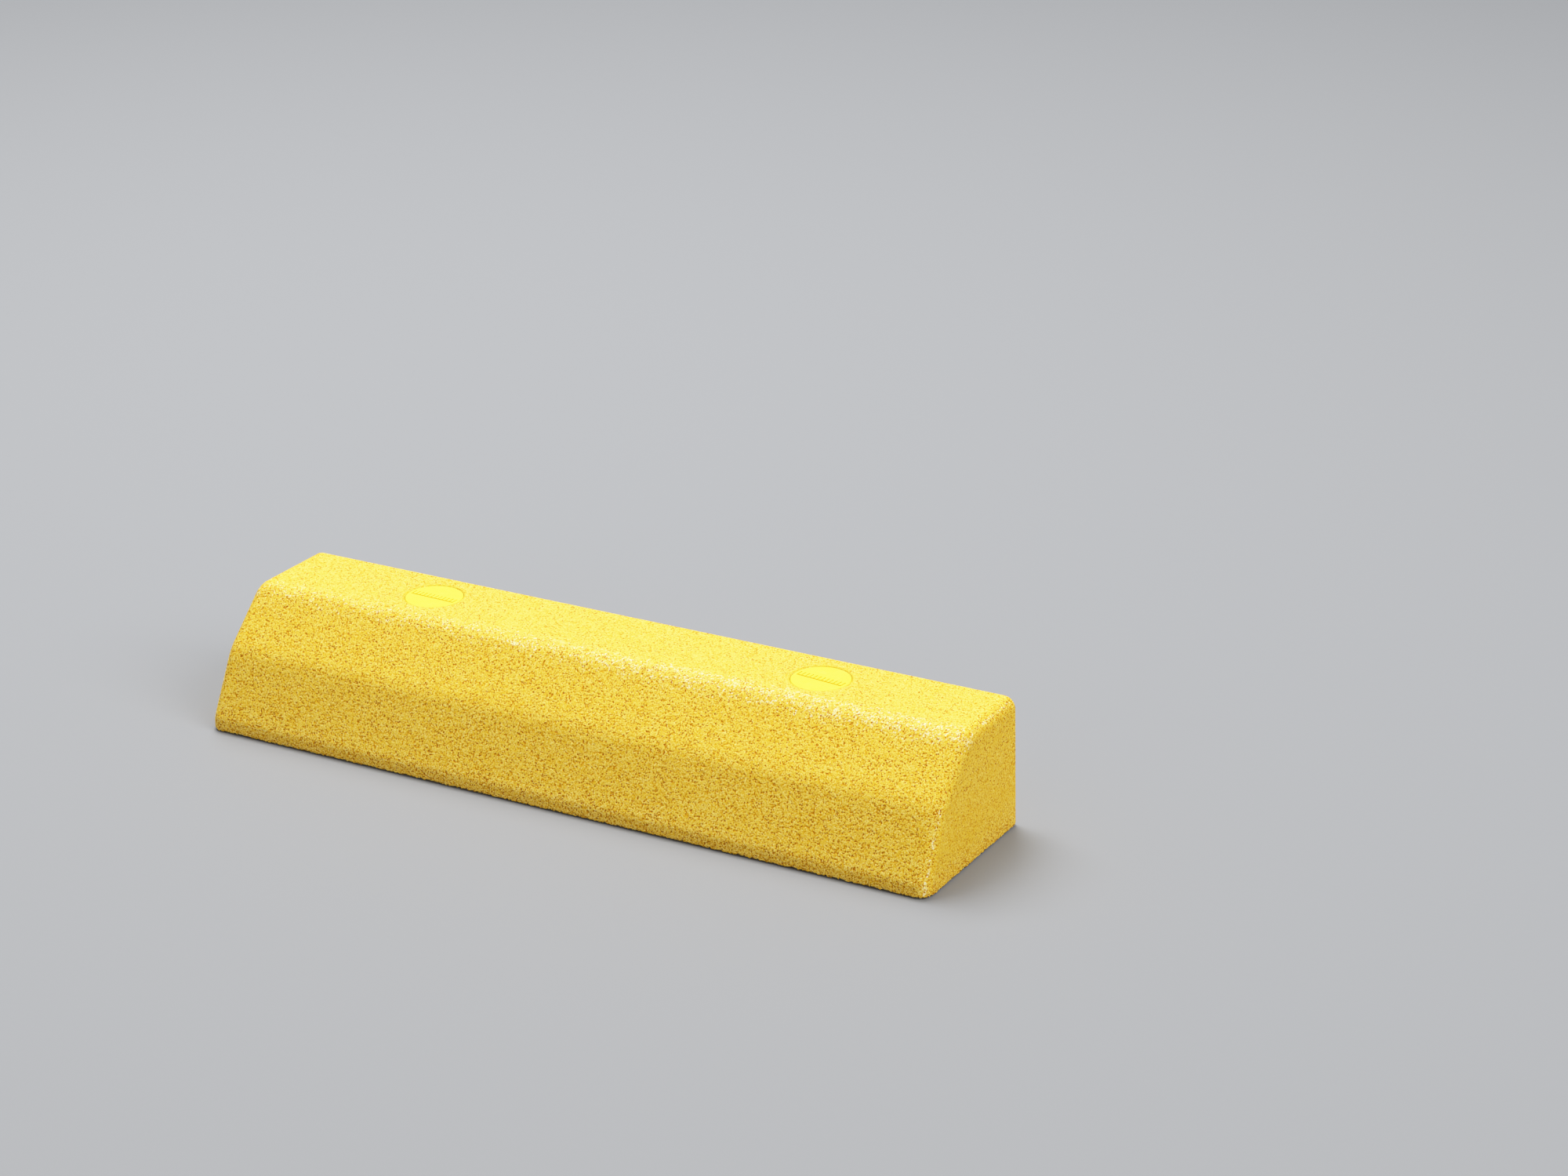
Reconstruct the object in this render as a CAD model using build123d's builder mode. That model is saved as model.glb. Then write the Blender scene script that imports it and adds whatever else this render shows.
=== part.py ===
from build123d import *
import os

os.makedirs("parts", exist_ok=True)

# Parking wheel stop: one block of bonded rubber granules with two bolt-down points.
# Each point is a stepped hole with a plastic socket, a steel spacer tube, a load plate,
# two washers and a nut, closed by a push-in cap.
# Frame: X along the length, -Y towards the arriving wheel, +Z up, origin at the base centre.
# All dimensions are in millimetres.

# Block
length = 600.0
width = 138.0
height = 97.0
end_draft = 1.9
lip_height = 10.0
bend_run = 23.5
bend_height = 58.0
crest_run = 63.5
lip_round = 12.0
bend_round = 40.0
crest_round = 20.0
end_round = 9.0
back_round = 3.0

# Bolt-down points
hole_spacing = 327.0
hole_y = 33.0
shell_gap = 0.1

# Cap: a disc with a slotted skirt and a finger grip cut into its top
cap_radius = 21.6
cap_gap = 0.3
cap_sink = 0.4
cap_thickness = 3.0
cap_edge = 0.5
skirt_depth = 8.0
skirt_wall = 1.8
skirt_slots = 4
skirt_slot_width = 2.0
cap_turns = {"left": -2.0, "right": -6.0}
grip_length = 38.0
grip_width = 6.8
grip_groove_width = 1.4
grip_groove_depth = 1.4
grip_notches = 12
grip_notch_width = 1.0
grip_notch_depth = 0.8

# Socket: a flanged plastic cup
flange_thickness = 2.0
socket_bore_radius = 18.0
socket_wall = 2.0
socket_floor = 3.0
socket_base_height = 48.0
running_clearance = 0.05

# M12 fixings
tube_bore_radius = 7.0
tube_wall = 2.5
tube_edge = 0.5
plate_radius = 17.4
plate_thickness = 4.0
plate_hole_radius = 6.7
washer_radius = 12.0
washer_thickness = 2.5
washer_hole_radius = 6.5
spring_radius = 10.5
spring_thickness = 2.5
spring_hole_radius = 6.1
spring_gap = 2.0
spring_gap_slant = 25.0
nut_flats = 19.0
nut_thickness = 10.0
nut_thread_radius = 5.1
nut_countersink = 0.9
nut_corner_slope = 0.58
steel_edge = 0.3

front = -width / 2
back = width / 2
tolerance = 0.01

# Heights above the base, from the top of the block downwards
cap_top = height - cap_sink
flange_top = cap_top - cap_thickness
recess_depth = height - flange_top + flange_thickness

# Radii that follow from their neighbours
recess_radius = cap_radius + cap_gap
socket_radius = socket_bore_radius + socket_wall
skirt_radius = socket_bore_radius - running_clearance
tube_radius = tube_bore_radius + tube_wall

# Heights above the base, from the socket floor upwards
plate_base = socket_base_height + socket_floor
washer_base = plate_base + plate_thickness
spring_base = washer_base + washer_thickness
nut_base = spring_base + spring_thickness

sides = {"left": -hole_spacing / 2, "right": hole_spacing / 2}


def level(x, z, turn=0):
    """The horizontal plane at height z, centred on the bolt hole at x and turned about it."""
    return Plane(origin=(x, hole_y, z)).rotated((0, 0, turn))


def above_base(edges):
    return edges.filter_by(lambda edge: edge.center().Z > tolerance)


def save(piece, name):
    piece.part.label = name
    export_step(piece.part, f"parts/{name}.step")


def make_granule_body():
    corners = {
        (front, lip_height): lip_round,
        (front + bend_run, bend_height): bend_round,
        (front + crest_run, height): crest_round,
    }
    with BuildPart() as block:
        # The section across the length, with its three rounded front corners
        with BuildSketch(Plane.YZ) as section:
            with BuildLine():
                Polyline((front, 0), *corners, (back, height), (back, 0), close=True)
            make_face()
            for corner, radius in corners.items():
                fillet(section.vertices().sort_by_distance(corner)[0], radius)
        extrude(amount=length / 2, both=True)
        # The ends lean inwards so that the block leaves its mould
        with BuildSketch(Plane.XZ):
            with BuildLine():
                Polyline(
                    (-length / 2, 0),
                    (length / 2, 0),
                    (length / 2 - end_draft, height),
                    (end_draft - length / 2, height),
                    close=True,
                )
            make_face()
        extrude(amount=width, both=True, mode=Mode.INTERSECT)
        # The ends are well rounded, and the back face only eased, all but at the base
        ends = block.faces().sort_by(Axis.X)
        end_edges = above_base(ends[0].edges() + ends[-1].edges())
        fillet(end_edges.filter_by(lambda edge: edge.center().Y < back - tolerance), end_round)
        fillet(above_base(block.faces().sort_by(Axis.Y)[-1].edges()), back_round)
        # Stepped holes: recess for cap and flange, seat for the cup, way for the tube
        with Locations(Plane(origin=(0, hole_y, height))):
            with GridLocations(hole_spacing, 0, 2, 1):
                CounterBoreHole(
                    radius=tube_radius + shell_gap,
                    counter_bore_radius=socket_radius + shell_gap,
                    counter_bore_depth=height - socket_base_height,
                )
                CounterBoreHole(
                    radius=tube_radius + shell_gap,
                    counter_bore_radius=recess_radius,
                    counter_bore_depth=recess_depth,
                )
    return block


def make_cap(x, turn):
    with BuildPart() as cap:
        with BuildSketch(level(x, flange_top)):
            Circle(cap_radius)
        extrude(amount=cap_thickness)
        fillet(cap.edges().sort_by(Axis.Z)[-1], cap_edge)
        # Skirt that guides the cap in the socket, split so that it can give
        with BuildSketch(level(x, flange_top, turn)):
            Circle(skirt_radius)
            Circle(skirt_radius - skirt_wall, mode=Mode.SUBTRACT)
            with PolarLocations(skirt_radius, skirt_slots, start_angle=45):
                Rectangle(3 * skirt_wall, skirt_slot_width, mode=Mode.SUBTRACT)
        extrude(amount=-skirt_depth)
        # Finger grip: a straight groove with shallower notches running back from it
        with BuildSketch(level(x, cap_top, turn)):
            with Locations((0, (grip_groove_width - grip_width) / 2)):
                Rectangle(grip_length, grip_groove_width)
        extrude(amount=-grip_groove_depth, mode=Mode.SUBTRACT)
        with BuildSketch(level(x, cap_top, turn)):
            notch_pitch = (grip_length - grip_notch_width) / (grip_notches - 1)
            with GridLocations(notch_pitch, 0, grip_notches, 1):
                Rectangle(grip_notch_width, grip_width)
        extrude(amount=-grip_notch_depth, mode=Mode.SUBTRACT)
    return cap


def make_cap_socket(x):
    with BuildPart() as socket:
        with BuildSketch(level(x, socket_base_height)):
            Circle(socket_radius)
        extrude(amount=flange_top - socket_base_height)
        with BuildSketch(level(x, flange_top)):
            Circle(recess_radius - shell_gap)
        extrude(amount=-flange_thickness)
        with Locations(level(x, flange_top)):
            CounterBoreHole(
                radius=tube_radius + shell_gap,
                counter_bore_radius=socket_bore_radius,
                counter_bore_depth=flange_top - plate_base,
            )
    return socket


def make_ring(x, base, radius, hole_radius, thickness, edge):
    """A flat ring or a tube with eased rims on both ends."""
    with BuildPart() as ring:
        with BuildSketch(level(x, base)):
            Circle(radius)
            Circle(hole_radius, mode=Mode.SUBTRACT)
        extrude(amount=thickness)
        rims = ring.edges().filter_by(GeomType.CIRCLE)
        chamfer(rims.filter_by(lambda rim: rim.radius > radius - edge), edge)
    return ring


def make_spring_washer(x):
    with BuildPart() as washer:
        with BuildSketch(level(x, spring_base)):
            Circle(spring_radius)
            Circle(spring_hole_radius, mode=Mode.SUBTRACT)
        extrude(amount=spring_thickness)
        # The slanted split that lets the ring bite when it is clamped
        with Locations(level(x, spring_base + spring_thickness / 2)):
            with Locations(Location((0, -spring_radius, 0), (0, spring_gap_slant, 0))):
                Box(spring_gap, spring_radius, 3 * spring_thickness, mode=Mode.SUBTRACT)
    return washer


def make_hex_nut(x):
    flat_radius = nut_flats / 2
    corner_radius = nut_flats / 3**0.5
    corner_drop = (corner_radius - flat_radius) * nut_corner_slope
    mouth_radius = nut_thread_radius + nut_countersink
    with BuildPart() as nut:
        with BuildSketch(level(x, nut_base)):
            RegularPolygon(flat_radius, 6, major_radius=False)
        extrude(amount=nut_thickness)
        # Turned shape: corners coned at both ends, bore countersunk at both ends
        turning_plane = Plane(origin=(x, hole_y, nut_base), x_dir=(1, 0, 0), z_dir=(0, -1, 0))
        with BuildSketch(turning_plane):
            with BuildLine():
                Polyline(
                    (mouth_radius, 0),
                    (flat_radius, 0),
                    (corner_radius, corner_drop),
                    (corner_radius, nut_thickness - corner_drop),
                    (flat_radius, nut_thickness),
                    (mouth_radius, nut_thickness),
                    (nut_thread_radius, nut_thickness - nut_countersink),
                    (nut_thread_radius, nut_countersink),
                    close=True,
                )
            make_face()
        revolve(axis=Axis((x, hole_y, 0), (0, 0, 1)), mode=Mode.INTERSECT)
    return nut


save(make_granule_body(), "granule_body")
for side, x in sides.items():
    save(make_cap(x, cap_turns[side]), f"cap_{side}")
    save(make_cap_socket(x), f"cap_socket_{side}")
    tube = make_ring(x, 0, tube_radius, tube_bore_radius, plate_base, tube_edge)
    save(tube, f"spacer_tube_{side}")
    plate = make_ring(x, plate_base, plate_radius, plate_hole_radius, plate_thickness, steel_edge)
    save(plate, f"load_plate_{side}")
    washer = make_ring(x, washer_base, washer_radius, washer_hole_radius, washer_thickness, steel_edge)
    save(washer, f"flat_washer_{side}")
    save(make_spring_washer(x), f"spring_washer_{side}")
    save(make_hex_nut(x), f"hex_nut_{side}")
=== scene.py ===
from math import cos, pi, radians, sin

import bpy
import numpy as np
from mathutils import Matrix, Vector


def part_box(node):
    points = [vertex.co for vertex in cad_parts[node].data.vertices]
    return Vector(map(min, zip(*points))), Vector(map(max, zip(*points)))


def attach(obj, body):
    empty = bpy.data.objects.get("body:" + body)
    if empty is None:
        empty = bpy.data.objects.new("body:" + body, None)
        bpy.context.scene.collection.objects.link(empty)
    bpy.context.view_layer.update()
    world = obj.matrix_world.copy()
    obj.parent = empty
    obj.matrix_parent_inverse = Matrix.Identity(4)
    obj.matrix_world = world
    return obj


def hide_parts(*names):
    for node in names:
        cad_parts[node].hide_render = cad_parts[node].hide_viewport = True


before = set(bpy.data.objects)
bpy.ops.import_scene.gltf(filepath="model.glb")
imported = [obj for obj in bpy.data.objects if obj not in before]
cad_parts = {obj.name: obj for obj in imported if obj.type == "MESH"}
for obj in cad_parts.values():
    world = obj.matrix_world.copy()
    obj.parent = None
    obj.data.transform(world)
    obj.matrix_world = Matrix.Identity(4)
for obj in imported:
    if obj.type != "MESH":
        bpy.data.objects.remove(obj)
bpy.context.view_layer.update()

# All lengths are in metres, in the part's own frame:
# X along the block, -Y towards its sloped front, +Z up, origin at the base centre.
VOXEL = 0.0008
FLOOR_GAP = 0.0002
UP = Vector((0, 0, 1))

# The block's grain
GRANULE = 0.0011
PORE_SPACING = 0.0018
FINE_GRAIN = 0.0005
RAGGED_SIZE = 0.0007
RAGGED_REACH = 0.0016
RELIEF = 0.0006
RIM_RISE = (0.0007, 0.0018)  # least and most
CREST_MIDDLE = -0.004
CALM_RING = 0.003
STRIP_STRETCH = 1.35  # how much finer the front's colours are kept across than along

# The fixings' surfaces
THREAD_PITCH = 0.00175
THREAD_DEPTH = 16.0  # times the plating's own bump
ZINC_CRYSTAL = 0.0032
TURNING_RING = 0.00028

SIDES = ("left", "right")


def middle_and_reach(node):
    """The middle of a round node, seen from above, and its radius."""
    low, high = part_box(node)
    return ((low[0] + high[0]) / 2, (low[1] + high[1]) / 2), (high[0] - low[0]) / 2


HOLE_CENTRE = {side: middle_and_reach(f"cap_socket_{side}")[0] for side in SIDES}
HOLE_RIM = {side: middle_and_reach(f"cap_socket_{side}")[1] for side in SIDES}
CAP_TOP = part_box("cap_left")[1][2]


# ---------------------------------------------------------------- camera, floor, light


def add_camera():
    """The photograph's viewpoint: right of the sloped front and above it, through a long lens."""
    azimuth, elevation, roll = radians(29.56), radians(21.62), radians(-0.47)
    distance = 2.8234
    target = Vector((-0.0017, 0.2729, 0.050))
    back = Vector((sin(azimuth) * cos(elevation), -cos(azimuth) * cos(elevation), sin(elevation)))
    level_right = (-back).cross(UP).normalized()
    level_up = level_right.cross(-back)
    right = cos(roll) * level_right + sin(roll) * level_up
    up = cos(roll) * level_up - sin(roll) * level_right
    data = bpy.data.cameras.new("camera")
    data.sensor_width = 36.0
    data.lens = 83.26
    camera = bpy.data.objects.new("camera", data)
    bpy.context.collection.objects.link(camera)
    turn = Matrix((right, up, back)).transposed().to_4x4()
    camera.matrix_world = Matrix.Translation(target + distance * back) @ turn
    bpy.context.scene.camera = camera


def add_area_light(name, place, side, power, colour, aim=(0, 0, 0)):
    """A square soft light of the given side, turned towards aim."""
    data = bpy.data.lights.new(name, "AREA")
    data.shape = "RECTANGLE"
    data.size, data.size_y = side, side
    data.energy = power
    data.color = colour
    light = bpy.data.objects.new(name, data)
    light.location = place
    light.rotation_euler = (Vector(aim) - Vector(place)).to_track_quat("-Z", "Y").to_euler()
    bpy.context.collection.objects.link(light)


def roll_off_highlights(view):
    """Leaves colours alone up to mid grey and eases the brighter ones off, as the photograph does."""
    view.view_transform = "Standard"
    view.use_curve_mapping = True
    brightest = 2.2
    view.curve_mapping.white_level = (brightest, brightest, brightest)
    combined = view.curve_mapping.curves[3]
    for light, shown in ((0.25, 0.25), (0.5, 0.5), (0.8, 0.735), (1.15, 0.90), (1.65, 0.98)):
        combined.points.new(light / brightest, shown)
    view.curve_mapping.update()


def add_lights():
    white, warm_white, warm = (1.0, 1.0, 1.0), (1.0, 0.99, 0.97), (1.0, 0.97, 0.92)
    add_area_light("left_behind", (-1.3, 1.2, 3.6), 2.6, 212, white)
    add_area_light("right", (3.75, -0.5, 3.25), 3.0, 162, warm_white)
    add_area_light("front", (0, -2.6, 0.5), 1.5, 7, warm, aim=(0, 0, 0.05))
    world = bpy.data.worlds.new("studio")
    world.use_nodes = True
    background = world.node_tree.nodes["Background"]
    background.inputs["Color"].default_value = (0.465, 0.475, 0.49, 1)
    background.inputs["Strength"].default_value = 1.0
    bpy.context.scene.world = world
    roll_off_highlights(bpy.context.scene.view_settings)


def add_floor():
    """A plain painted floor, a hair under the base so that the two never fight for the same place."""
    mesh = bpy.data.meshes.new("floor")
    reach = 30.0
    corners = [(-reach, -reach), (reach, -reach), (reach, reach), (-reach, reach)]
    mesh.from_pydata([(*corner, -FLOOR_GAP) for corner in corners], [], [(0, 1, 2, 3)])
    floor = bpy.data.objects.new("floor", mesh)
    bpy.context.collection.objects.link(floor)
    material = bpy.data.materials.new("floor_paint")
    material.use_nodes = True
    shader = material.node_tree.nodes["Principled BSDF"]
    shader.inputs["Base Color"].default_value = (0.245, 0.25, 0.26, 1)
    shader.inputs["Roughness"].default_value = 0.75
    mesh.materials.append(material)


add_camera()
add_floor()
add_lights()


# ---------------------------------------------------------------- node helpers


class Nodes:
    """Short ways to add and join the nodes of one material or node group."""

    def __init__(self, tree):
        self.tree = tree

    def add(self, kind, settings=None, **inputs):
        node = self.tree.nodes.new(kind)
        for name, value in (settings or {}).items():
            setattr(node, name, value)
        for name, value in inputs.items():
            self.set(node.inputs[name.replace("_", " ")], value)
        return node

    def set(self, socket, value):
        if isinstance(value, bpy.types.NodeSocket):
            self.tree.links.new(value, socket)
        else:
            socket.default_value = value

    def math(self, operation, first, second=0.0, third=0.0):
        node = self.tree.nodes.new("ShaderNodeMath")
        node.operation = operation
        for socket, value in zip(node.inputs, (first, second, third)):
            self.set(socket, value)
        return node.outputs[0]

    def plus(self, first, second):
        return self.math("ADD", first, second)

    def minus(self, first, second):
        return self.math("SUBTRACT", first, second)

    def times(self, first, second):
        return self.math("MULTIPLY", first, second)

    def times_plus(self, first, second, added):
        return self.math("MULTIPLY_ADD", first, second, added)

    def vector_math(self, operation, first, second=(0, 0, 0), scale=1.0):
        node = self.tree.nodes.new("ShaderNodeVectorMath")
        node.operation = operation
        self.set(node.inputs[0], first)
        if operation == "SCALE":
            self.set(node.inputs["Scale"], scale)
        else:
            self.set(node.inputs[1], second)
        return node.outputs[0]

    def span(self, value, low, high, to_low=0.0, to_high=1.0, smooth=True):
        """value taken from low..high to to_low..to_high and held there beyond, eased when smooth."""
        node = self.tree.nodes.new("ShaderNodeMapRange")
        node.interpolation_type = "SMOOTHSTEP" if smooth else "LINEAR"
        for socket, given in zip(node.inputs, (value, low, high, to_low, to_high)):
            self.set(socket, given)
        return node.outputs[0]

    def mix(self, factor, first, second):
        node = self.tree.nodes.new("ShaderNodeMix")
        node.data_type = "RGBA"
        self.set(node.inputs["Factor"], factor)
        self.set(node.inputs["A"], first)
        self.set(node.inputs["B"], second)
        return node.outputs["Result"]

    def voronoi(self, vector, size, feature="F1", **settings):
        node = self.tree.nodes.new("ShaderNodeTexVoronoi")
        node.feature = feature
        for name, value in settings.items():
            node.inputs[name].default_value = value
        self.set(node.inputs["Vector"], vector)
        node.inputs["Scale"].default_value = 1 / size
        return node

    def noise(self, vector, size, detail=2.0, roughness=0.5, output=0):
        node = self.tree.nodes.new("ShaderNodeTexNoise")
        self.set(node.inputs["Vector"], vector)
        node.inputs["Scale"].default_value = 1 / size
        node.inputs["Detail"].default_value = detail
        node.inputs["Roughness"].default_value = roughness
        return node.outputs[output]


def new_material(name):
    """A material with a lone Principled shader, and the helper for its nodes."""
    material = bpy.data.materials.new(name)
    material.use_nodes = True
    return material, Nodes(material.node_tree), material.node_tree.nodes["Principled BSDF"]


# ---------------------------------------------------------------- granule block


def parts_of(nodes, vector):
    """The X, Y and Z outputs of a vector."""
    apart = nodes.tree.nodes.new("ShaderNodeSeparateXYZ")
    nodes.set(apart.inputs[0], vector)
    return apart.outputs


def bolt_offset(nodes, place):
    """Where a point lies from the nearer bolt's axis, mirrored on the left side, and its height."""
    x, y, z = parts_of(nodes, place)
    across = nodes.minus(nodes.math("ABSOLUTE", x), HOLE_CENTRE["right"][0])
    return across, nodes.minus(y, HOLE_CENTRE["right"][1]), z


def from_bolt(nodes, place):
    """How far a point lies from the axis of the nearer bolt."""
    across, along, _ = bolt_offset(nodes, place)
    squares = nodes.plus(nodes.math("POWER", across, 2.0), nodes.math("POWER", along, 2.0))
    return nodes.math("SQRT", squares)


def at_hole(nodes, place):
    """1 on the upper wall of each hole, fading to 0 over a narrow ring round its mouth."""
    rim = HOLE_RIM["right"]
    near = nodes.span(from_bolt(nodes, place), rim, rim + CALM_RING, 1.0, 0.0)
    return nodes.times(near, nodes.span(parts_of(nodes, place)[2], 0.045, 0.080))


def loose_grain(nodes, place, normal):
    """How open the granules lie: about 1 on the sloped front, the back and the underside.

    It is less on the top, on the ends and round the holes, and more along the lower edge.
    """
    x, y, z = parts_of(nodes, normal)
    on_top = nodes.span(z, 0.90, 1.0, 0.0, 0.15)
    on_end = nodes.span(nodes.math("ABSOLUTE", x), 0.75, 0.98, 0.0, 0.25)
    drift = nodes.span(nodes.noise(place, 0.012, detail=1.0), 0.25, 0.75, 0.93, 1.07, smooth=False)
    height = parts_of(nodes, place)[2]
    low = nodes.span(height, 0.0, 0.020, 0.45, 0.0)
    loose = nodes.plus(drift, low)
    loose = nodes.minus(loose, nodes.math("MAXIMUM", on_top, on_end))
    return nodes.times_plus(at_hole(nodes, place), -0.55, loose)


def granules(nodes, place):
    """How deep a point lies, 0 on a granule's crown and 1 in a pit, and its granule's random colour."""
    ragged = nodes.noise(place, RAGGED_SIZE, detail=2.0, output=1)
    ragged = nodes.vector_math("SUBTRACT", ragged, (0.5, 0.5, 0.5))
    ragged = nodes.vector_math("SCALE", ragged, scale=RAGGED_REACH)
    place = nodes.vector_math("ADD", place, ragged)
    cells = nodes.voronoi(place, GRANULE, Randomness=0.95)
    gap = nodes.span(cells.outputs["Distance"], 0.58, 0.86)
    unbonded = nodes.span(nodes.noise(place, 0.0010, detail=1.0), 0.42, 0.62)
    open_gap = nodes.times(gap, unbonded)
    gap = nodes.times_plus(open_gap, 0.35, nodes.times(gap, 0.35))
    pores = nodes.voronoi(place, PORE_SPACING, Randomness=1.0)
    pore = nodes.span(pores.outputs["Distance"], 0.17, 0.36, 1.0, 0.0)
    chance = parts_of(nodes, pores.outputs["Color"])[0]
    pore = nodes.times(pore, nodes.span(chance, 0.1, 0.9, 0.35, 1.25, smooth=False))
    return nodes.math("MAXIMUM", gap, pore), cells.outputs["Color"]


def worn_rim(nodes, place, own):
    """How far the lower rim is broken away from the pavement, unevenly, all round the flat base."""
    x, y, z = parts_of(nodes, place)
    half_length, half_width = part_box("granule_body")[1][:2]
    from_end = nodes.minus(half_length, nodes.math("ABSOLUTE", x))
    from_side = nodes.minus(half_width, nodes.math("ABSOLUTE", y))
    near = nodes.span(nodes.math("MINIMUM", from_end, from_side), 0.001, 0.008, 1.0, 0.0)
    near = nodes.times(near, nodes.span(z, 0.0, 0.004, 1.0, 0.0))
    rise = nodes.span(parts_of(nodes, own)[0], 0.0, 1.0, *RIM_RISE)
    return nodes.times(near, rise)


def add_relief(piece):
    """Sinks the skin between the granules, as geometry.

    Each point keeps its first place and normal, so that the material finds the same granules.
    """
    group = bpy.data.node_groups.new("granule_relief", "GeometryNodeTree")
    group.interface.new_socket("Geometry", in_out="INPUT", socket_type="NodeSocketGeometry")
    group.interface.new_socket("Geometry", in_out="OUTPUT", socket_type="NodeSocketGeometry")
    nodes = Nodes(group)
    start, end = nodes.add("NodeGroupInput"), nodes.add("NodeGroupOutput")
    place = nodes.add("GeometryNodeInputPosition").outputs[0]
    normal = nodes.add("GeometryNodeInputNormal").outputs[0]
    geometry = start.outputs[0]
    for name, value in (("rest", place), ("rest_normal", normal)):
        settings = {"data_type": "FLOAT_VECTOR", "domain": "POINT"}
        store = nodes.add("GeometryNodeStoreNamedAttribute", settings, Name=name, Value=value)
        nodes.set(store.inputs["Geometry"], geometry)
        geometry = store.outputs[0]
    kept = {"data_type": "FLOAT_VECTOR"}
    place = nodes.add("GeometryNodeInputNamedAttribute", kept, Name="rest").outputs[0]
    normal = nodes.add("GeometryNodeInputNamedAttribute", kept, Name="rest_normal").outputs[0]
    depth, own = granules(nodes, place)
    depth = nodes.times(depth, loose_grain(nodes, place, normal))
    sink = nodes.vector_math("SCALE", normal, scale=nodes.times(depth, -RELIEF))
    rise = nodes.add("ShaderNodeCombineXYZ", Z=worn_rim(nodes, place, own)).outputs[0]
    move = nodes.add("GeometryNodeSetPosition")
    nodes.set(move.inputs["Geometry"], geometry)
    nodes.set(move.inputs["Offset"], nodes.vector_math("ADD", sink, rise))
    nodes.set(end.inputs[0], move.outputs[0])
    modifier = piece.modifiers.new("granule_relief", "NODES")
    modifier.node_group = group


def paler_end_edges_and_crest_glints(nodes, place, normal):
    """How much paler the rounded end edges are, and a painted highlight of glints along the crest, in
    broken stretches, 0 elsewhere.
    """
    x = parts_of(nodes, normal)[0]
    along, across, height = parts_of(nodes, place)
    off_middle = nodes.math("ABSOLUTE", nodes.minus(nodes.math("ABSOLUTE", x), 0.70))
    end_edge = nodes.span(off_middle, 0.04, 0.16, 1.0, 0.0)
    low = nodes.span(height, 0.050, 0.060, 1.0, 0.15)
    high = nodes.span(height, 0.088, 0.092, 0.0, 0.6)
    end_edge = nodes.times(end_edge, nodes.math("MAXIMUM", low, high))
    # Painted highlight: along the crest, pale granules stand in for glints of light. They are stronger
    # towards the right end, where the light catches it.
    off_crest = nodes.math("ABSOLUTE", nodes.plus(across, -CREST_MIDDLE))
    crest = nodes.span(off_crest, 0.003, 0.016, 0.74, 0.0)
    crest = nodes.times(crest, nodes.span(height, 0.082, 0.090))
    crest = nodes.times(crest, nodes.span(along, -0.25, 0.15, 0.55, 1.0))
    broken = nodes.span(nodes.noise(place, 0.006, detail=2.0), 0.30, 0.60, 0.35, 1.0)
    return nodes.times(nodes.math("MAXIMUM", end_edge, crest), broken)


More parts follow.
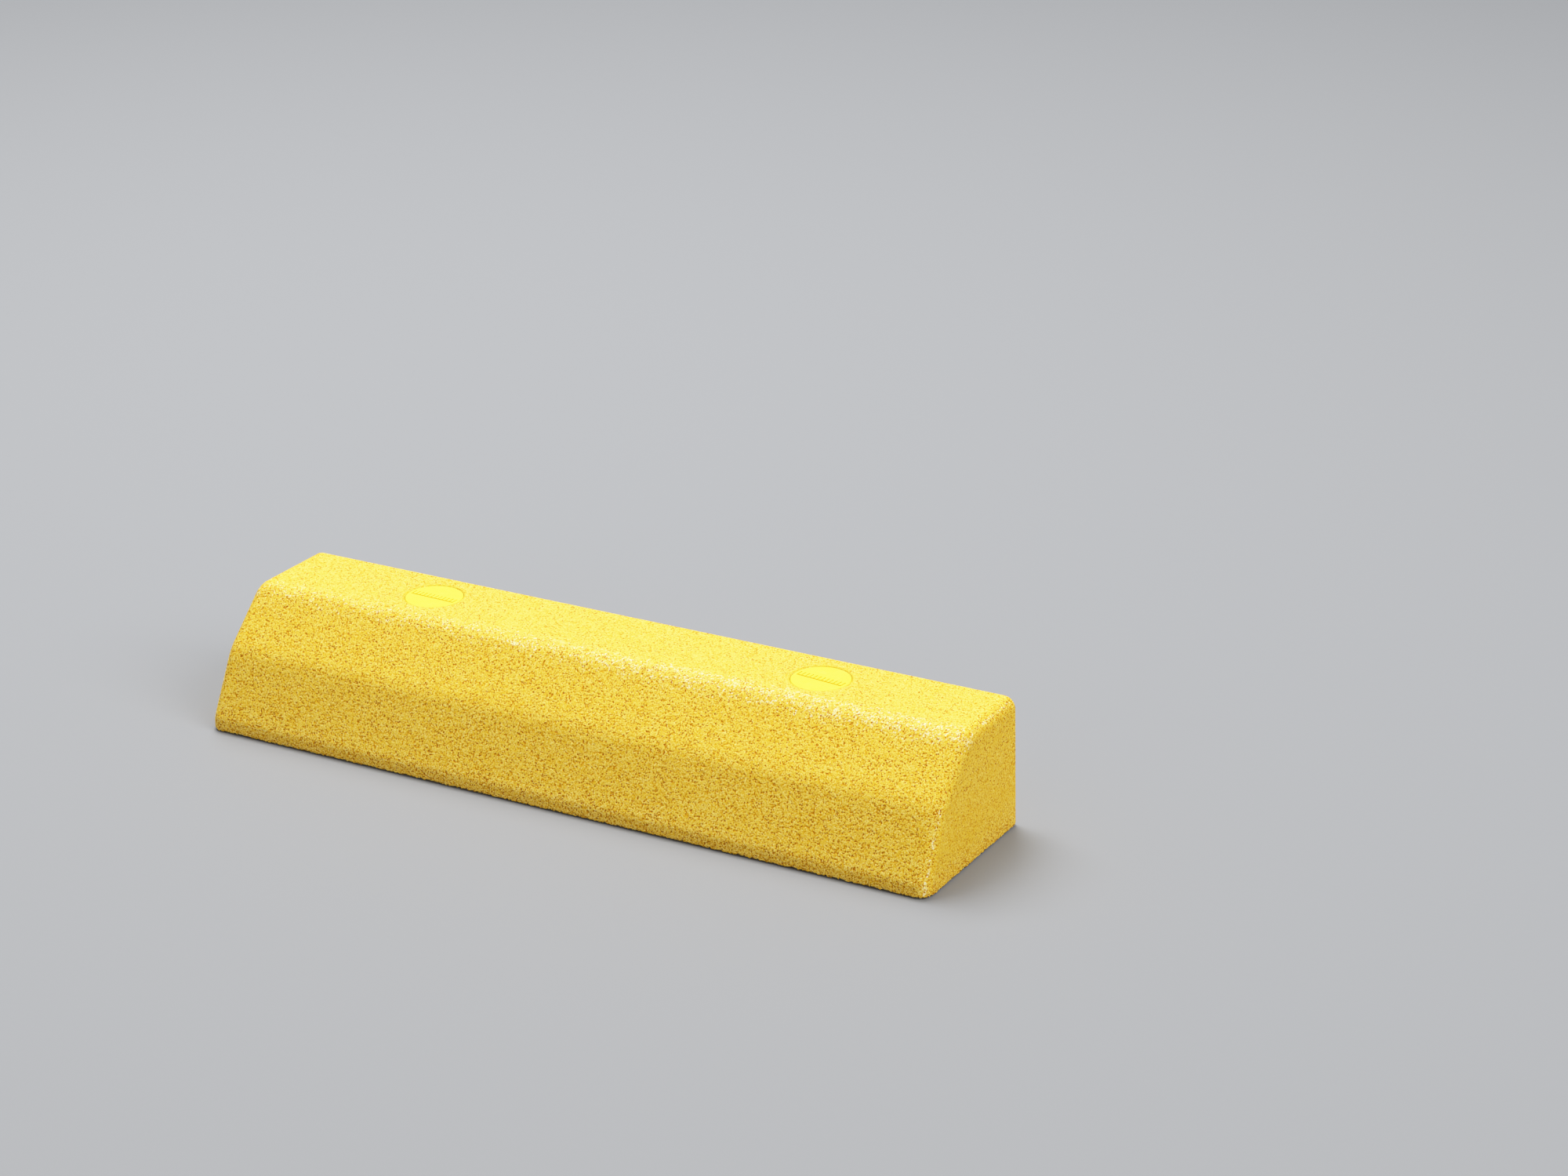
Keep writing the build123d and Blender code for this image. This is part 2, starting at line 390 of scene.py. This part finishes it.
def granule_material():
    """Bonded rubber granules in random tones, pale on the end edges, with painted highlights on the
    crowns, the top and the crest, painted light in the hole mouths, and painted shade in the pores and
    near the base.
    """
    material, nodes, shader = new_material("bonded_granules")
    place = nodes.add("ShaderNodeAttribute", {"attribute_name": "rest"}).outputs["Vector"]
    normal = nodes.add("ShaderNodeAttribute", {"attribute_name": "rest_normal"}).outputs["Vector"]
    depth, own = granules(nodes, place)
    apart = nodes.tree.nodes.new("ShaderNodeSeparateColor")
    nodes.set(apart.inputs[0], own)
    fine = nodes.noise(place, FINE_GRAIN, detail=1.0)
    # The level paints light and shade. With depth, the colour runs from pale cream on a granule's
    # crown, a painted highlight, to dark brown in a pit, painted shade. The granule's own random tone
    # and the fine grain shift it too.
    level = nodes.times_plus(nodes.minus(apart.outputs[0], 0.5), -0.21, depth)
    level = nodes.plus(level, nodes.span(fine, 0.3, 0.7, 0.29, -0.29, smooth=False))
    level = nodes.minus(level, 0.10)
    level = nodes.times_plus(level, loose_grain(nodes, place, normal), 0.37)
    # Painted sheen: the top is painted paler, a painted highlight where the light falls on it.
    top = nodes.span(parts_of(nodes, normal)[2], 0.90, 1.0, 0.0, 0.08)
    level = nodes.minus(level, top)
    # Painted light: the upper walls of each hole are painted paler, to lighten the shade in the gap
    # round the cap.
    wall = nodes.span(parts_of(nodes, normal)[2], 0.3, 0.9, 0.16, 0.0)
    level = nodes.minus(level, nodes.times(at_hole(nodes, place), wall))
    # Painted shade: darker towards the base, where the block meets the floor.
    level = nodes.plus(level, nodes.span(parts_of(nodes, place)[2], 0.002, 0.014, 0.07, 0.0))
    ramp = nodes.add("ShaderNodeValToRGB", Fac=level)
    stops = (
        (0.0, (0.97, 0.78, 0.25)),
        (0.27, (0.85, 0.568, 0.029)),
        (0.52, (0.78, 0.39, 0.002)),
        (0.90, (0.46, 0.13, 0.0)),
    )
    marks = ramp.color_ramp.elements
    while len(marks) < len(stops):
        marks.new(0.5)
    for mark, (position, tint) in zip(marks, stops):
        mark.position, mark.color = position, (*tint, 1)
    # Paler granules along the rounded end edges; along the crest, a painted highlight of pale granules
    # standing in for glints of light.
    worn = nodes.times(paler_end_edges_and_crest_glints(nodes, place, normal), 0.5)
    worn = nodes.span(nodes.plus(worn, apart.outputs[1]), 0.98, 1.14)
    worn = nodes.times(worn, nodes.span(depth, 0.1, 0.5, 1.0, 0.0))
    worn = nodes.times(worn, nodes.span(fine, 0.35, 0.60, 0.45, 1.0))
    colour = nodes.mix(worn, ramp.outputs[0], (0.97, 0.89, 0.50, 1))
    height = nodes.plus(nodes.times(depth, -1.0), nodes.times(fine, 0.8))
    bump = nodes.add("ShaderNodeBump", Height=height, Strength=1.0, Distance=0.00018)
    nodes.set(shader.inputs["Normal"], bump.outputs[0])
    shader.inputs["Roughness"].default_value = 0.5
    shader.inputs["Specular IOR Level"].default_value = 0.10
    nodes.set(shader.inputs["Base Color"], colour)
    return material


def kept_vectors(mesh, name):
    """A named vector of every point of a mesh, one row each."""
    values = np.empty(len(mesh.vertices) * 3)
    mesh.attributes[name].data.foreach_get("vector", values)
    return values.reshape(-1, 3)


def unfold(mesh):
    """Lays the skin out flat: the front and top as one strip, then back, ends, holes and underside.

    All places are in metres until the last step.
    """
    corners = np.empty(len(mesh.loops), dtype=np.int64)
    mesh.loops.foreach_get("vertex_index", corners)
    starts = np.empty(len(mesh.polygons), dtype=np.int64)
    mesh.polygons.foreach_get("loop_start", starts)
    counts = np.diff(np.append(starts, len(corners)))
    place = kept_vectors(mesh, "rest")[corners]
    normal = kept_vectors(mesh, "rest_normal")[corners]

    def over_face(values):
        return np.repeat(np.add.reduceat(values, starts) / counts[:, None], counts, axis=0)

    low, high = (np.array(corner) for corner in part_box("granule_body"))
    centre, facing = over_face(place), over_face(normal)
    x, y, z = (place - low).T
    gap, half = 0.004, 0.5
    strip_height = (high - low)[1:].sum() * STRIP_STRETCH
    rows = np.cumsum([gap, strip_height + gap, high[2] - low[2] + gap, high[2] - low[2] + gap])
    flat = np.stack((x + gap, (y + z) * STRIP_STRETCH + rows[0]), axis=1)
    back = facing[:, 1] > 0.7
    flat[back] = np.stack((x + gap, z + rows[1]), axis=1)[back]
    for sign, start in ((-1, gap), (1, high[1] - low[1] + 2 * gap)):
        end = sign * facing[:, 0] > 0.7
        flat[end] = np.stack((y + start, z + rows[2]), axis=1)[end]
    under = facing[:, 2] < -0.7
    flat[under] = np.stack((half * x + gap, half * y + rows[3]), axis=1)[under]
    for number, side in enumerate(SIDES):
        rim = HOLE_RIM[side]
        middle = np.array(HOLE_CENTRE[side])
        turn = np.arctan2(*(place[:, :2] - middle).T)
        face_turn = np.arctan2(*(centre[:, :2] - middle).T)
        turn = face_turn + (turn - face_turn + pi) % (2 * pi) - pi
        reach = np.hypot(*(place[:, :2] - middle).T)
        inside = (np.hypot(*(centre[:, :2] - middle).T) < rim + VOXEL / 2) & (centre[:, 2] > VOXEL)
        start = 2 * (high[1] - low[1]) + (4 + number) * gap + half * rim * (pi + 2 * pi * number)
        wall = np.stack((half * rim * turn + start, half * (z + reach) + rows[2]), axis=1)
        flat[inside] = wall[inside]
    side_length = high[0] - low[0] + 2 * gap
    layer = mesh.uv_layers.new(name="OFBake")
    layer.data.foreach_set("uv", (flat / side_length).ravel())


def make_granule_block():
    """The block's skin on an even grid, with its relief, layout and material."""
    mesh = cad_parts["granule_body"].data.copy()
    mesh.materials.clear()
    block = bpy.data.objects.new("granule_block", mesh)
    bpy.context.collection.objects.link(block)
    remesh = block.modifiers.new("even_grid", "REMESH")
    remesh.mode = "VOXEL"
    remesh.voxel_size = VOXEL
    remesh.use_smooth_shade = True
    add_relief(block)
    graph = bpy.context.evaluated_depsgraph_get()
    made = bpy.data.meshes.new_from_object(block.evaluated_get(graph))
    block.modifiers.clear()
    block.data = made
    unfold(made)
    made.materials.clear()
    made.materials.append(granule_material())
    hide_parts("granule_body")
    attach(block, "block")
    return block


make_granule_block()


# ---------------------------------------------------------------- plastic and steel pieces


def at_rest(nodes):
    """Where a point lies in the part's frame while its piece is at rest."""
    return nodes.add("ShaderNodeTexCoord").outputs["Object"]


def scratches(nodes, place, turn, amount):
    """Fine straight scratches that run at an angle to the block, 1 on a scratch."""
    rotation = (0, 0, radians(turn))
    turned = nodes.add("ShaderNodeMapping", Vector=place, Rotation=rotation, Scale=(6, 240, 60))
    lines = nodes.span(nodes.noise(turned.outputs[0], 1 / 12, detail=1.0), 0.66, 0.72)
    patches = nodes.span(nodes.noise(place, 0.008, detail=1.0), 0.45, 0.60)
    return nodes.times(nodes.times(lines, patches), amount)


def finish_surface(nodes, shader, colour, roughness, height, depth):
    """Joins the colour, roughness and bump to the shader. A height of 1 stands depth metres proud."""
    nodes.set(shader.inputs["Base Color"], colour)
    nodes.set(shader.inputs["Roughness"], roughness)
    bump = nodes.add("ShaderNodeBump", Height=height, Strength=1.0, Distance=depth)
    nodes.set(shader.inputs["Normal"], bump.outputs[0])


def moulded_plastic(name, clean, deep, gloss):
    """Yellow moulded plastic: clouded from clean to deep, with a matt grain and light scratches.

    The colour is painted deeper in the grooves of a cap's grip, as painted shade. gloss is the lowest
    roughness.
    """
    material, nodes, shader = new_material(name)
    place = at_rest(nodes)
    cloud = nodes.span(nodes.noise(place, 0.010, detail=3.0), 0.32, 0.68)
    grain = nodes.noise(place, 0.00035, detail=1.0)
    worn = nodes.math("MAXIMUM", scratches(nodes, place, 25, 0.8), scratches(nodes, place, -50, 0.6))
    z = parts_of(nodes, place)[2]
    # Painted shade: the grooves of a cap's grip are coloured a deeper orange-yellow, standing in for
    # the shade inside them.
    grip = nodes.span(z, CAP_TOP - 0.0009, CAP_TOP - 0.0002, 1.0, 0.0)
    grip = nodes.times(grip, nodes.span(z, CAP_TOP - 0.0024, CAP_TOP - 0.0016))
    grip = nodes.times(grip, nodes.span(from_bolt(nodes, place), 0.0196, 0.0206, 1.0, 0.0))
    colour = nodes.mix(cloud, (*clean, 1), (*deep, 1))
    colour = nodes.mix(nodes.times(grip, 0.85), colour, (0.88, 0.52, 0.008, 1))
    colour = nodes.mix(nodes.times(worn, 0.35), colour, (0.96, 0.90, 0.35, 1))
    roughness = nodes.span(cloud, 0.0, 1.0, gloss, gloss + 0.12)
    roughness = nodes.plus(roughness, nodes.times(worn, 0.2))
    height = nodes.minus(grain, nodes.times(worn, 0.8))
    finish_surface(nodes, shader, colour, roughness, height, 0.00003)
    shader.inputs["Specular IOR Level"].default_value = 0.35
    return material


def galvanised_steel():
    """Hot-dipped zinc: dull crystals a few millimetres across under a faint white bloom."""
    material, nodes, shader = new_material("galvanised_steel")
    place = at_rest(nodes)
    crystals = nodes.voronoi(place, ZINC_CRYSTAL, Randomness=1.0)
    tone = parts_of(nodes, crystals.outputs["Color"])[0]
    borders = nodes.voronoi(place, ZINC_CRYSTAL, feature="DISTANCE_TO_EDGE", Randomness=1.0)
    bloom = nodes.span(nodes.noise(place, 0.006, detail=4.0, roughness=0.6), 0.50, 0.75)
    colour = nodes.mix(tone, (0.42, 0.44, 0.46, 1), (0.66, 0.68, 0.70, 1))
    colour = nodes.mix(nodes.times(bloom, 0.6), colour, (0.80, 0.81, 0.80, 1))
    roughness = nodes.span(tone, 0.0, 1.0, 0.30, 0.48)
    roughness = nodes.plus(roughness, nodes.times(bloom, 0.25))
    height = nodes.plus(nodes.span(borders.outputs["Distance"], 0.0, 0.06), nodes.times(tone, 0.3))
    finish_surface(nodes, shader, colour, roughness, height, 0.00004)
    shader.inputs["Metallic"].default_value = 1.0
    return material


def nut_thread(nodes, place, reach):
    """A right-hand M12 thread in the nut's bore, from 0 in its grooves to 1 on its crests."""
    across, along, z = bolt_offset(nodes, place)
    side = nodes.math("SIGN", parts_of(nodes, place)[0])
    turn = nodes.math("ARCTAN2", along, nodes.times(across, side))
    part_turn = nodes.times(turn, -1 / (2 * pi))
    climb = nodes.times_plus(z, 1 / THREAD_PITCH, part_turn)
    wave = nodes.times(nodes.math("PINGPONG", climb, 0.5), 2.0)
    in_bore = nodes.span(reach, 0.0054, 0.0060, 1.0, 0.0)
    return nodes.times(wave, in_bore)


def zinc_plated_steel():
    """Bright zinc plating over faint turning rings, rubbed dull in patches and darker in the bore."""
    material, nodes, shader = new_material("zinc_plated_steel")
    place = at_rest(nodes)
    reach = from_bolt(nodes, place)
    outwards = nodes.add("ShaderNodeCombineXYZ", X=reach).outputs[0]
    rings = nodes.noise(outwards, TURNING_RING, detail=2.0)
    cloud = nodes.span(nodes.noise(place, 0.004, detail=3.0), 0.35, 0.65)
    rubbed = nodes.span(nodes.noise(place, 0.0011, detail=3.0, roughness=0.7), 0.55, 0.70)
    bore = nodes.span(reach, 0.0058, 0.0068, 1.0, 0.0)
    colour = nodes.mix(cloud, (0.60, 0.63, 0.68, 1), (0.76, 0.75, 0.70, 1))
    colour = nodes.mix(nodes.times(rubbed, 0.4), colour, (0.40, 0.41, 0.42, 1))
    colour = nodes.mix(nodes.times(bore, 0.7), colour, (0.22, 0.22, 0.22, 1))
    roughness = nodes.span(rings, 0.3, 0.7, 0.20, 0.36)
    roughness = nodes.plus(roughness, nodes.times(rubbed, 0.15))
    height = nodes.minus(rings, nodes.times(rubbed, 0.5))
    height = nodes.times_plus(nut_thread(nodes, place, reach), THREAD_DEPTH, height)
    finish_surface(nodes, shader, colour, roughness, height, 0.00003)
    shader.inputs["Metallic"].default_value = 1.0
    return material


def phosphated_steel():
    """Dark grained phosphate on spring steel, rubbed bright in specks."""
    material, nodes, shader = new_material("phosphated_spring_steel")
    place = at_rest(nodes)
    grain = nodes.noise(place, 0.00045, detail=2.0)
    cloud = nodes.span(nodes.noise(place, 0.003, detail=3.0), 0.35, 0.65)
    rubbed = nodes.span(nodes.noise(place, 0.0009, detail=3.0, roughness=0.7), 0.60, 0.72)
    colour = nodes.mix(cloud, (0.050, 0.052, 0.056, 1), (0.105, 0.100, 0.094, 1))
    colour = nodes.mix(nodes.times(rubbed, 0.7), colour, (0.38, 0.38, 0.38, 1))
    roughness = nodes.span(grain, 0.3, 0.7, 0.45, 0.65)
    roughness = nodes.minus(roughness, nodes.times(rubbed, 0.2))
    finish_surface(nodes, shader, colour, roughness, grain, 0.00005)
    shader.inputs["Metallic"].default_value = 0.9
    return material


def dress(node, material):
    """Gives every slot of a CAD node the material."""
    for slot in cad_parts[node].material_slots:
        slot.link = "OBJECT"
        slot.material = material


cap_plastic = moulded_plastic(
    "cap_plastic", clean=(0.94, 0.80, 0.045), deep=(0.92, 0.76, 0.030), gloss=0.34
)
socket_plastic = moulded_plastic(
    "socket_plastic", clean=(0.90, 0.72, 0.038), deep=(0.87, 0.67, 0.026), gloss=0.45
)
galvanised, zinc, phosphated = galvanised_steel(), zinc_plated_steel(), phosphated_steel()
PIECE_MATERIALS = {
    "cap": cap_plastic,
    "cap_socket": socket_plastic,
    "spacer_tube": galvanised,
    "load_plate": galvanised,
    "flat_washer": zinc,
    "spring_washer": phosphated,
    "hex_nut": zinc,
}
for side in SIDES:
    for piece, material in PIECE_MATERIALS.items():
        dress(f"{piece}_{side}", material)
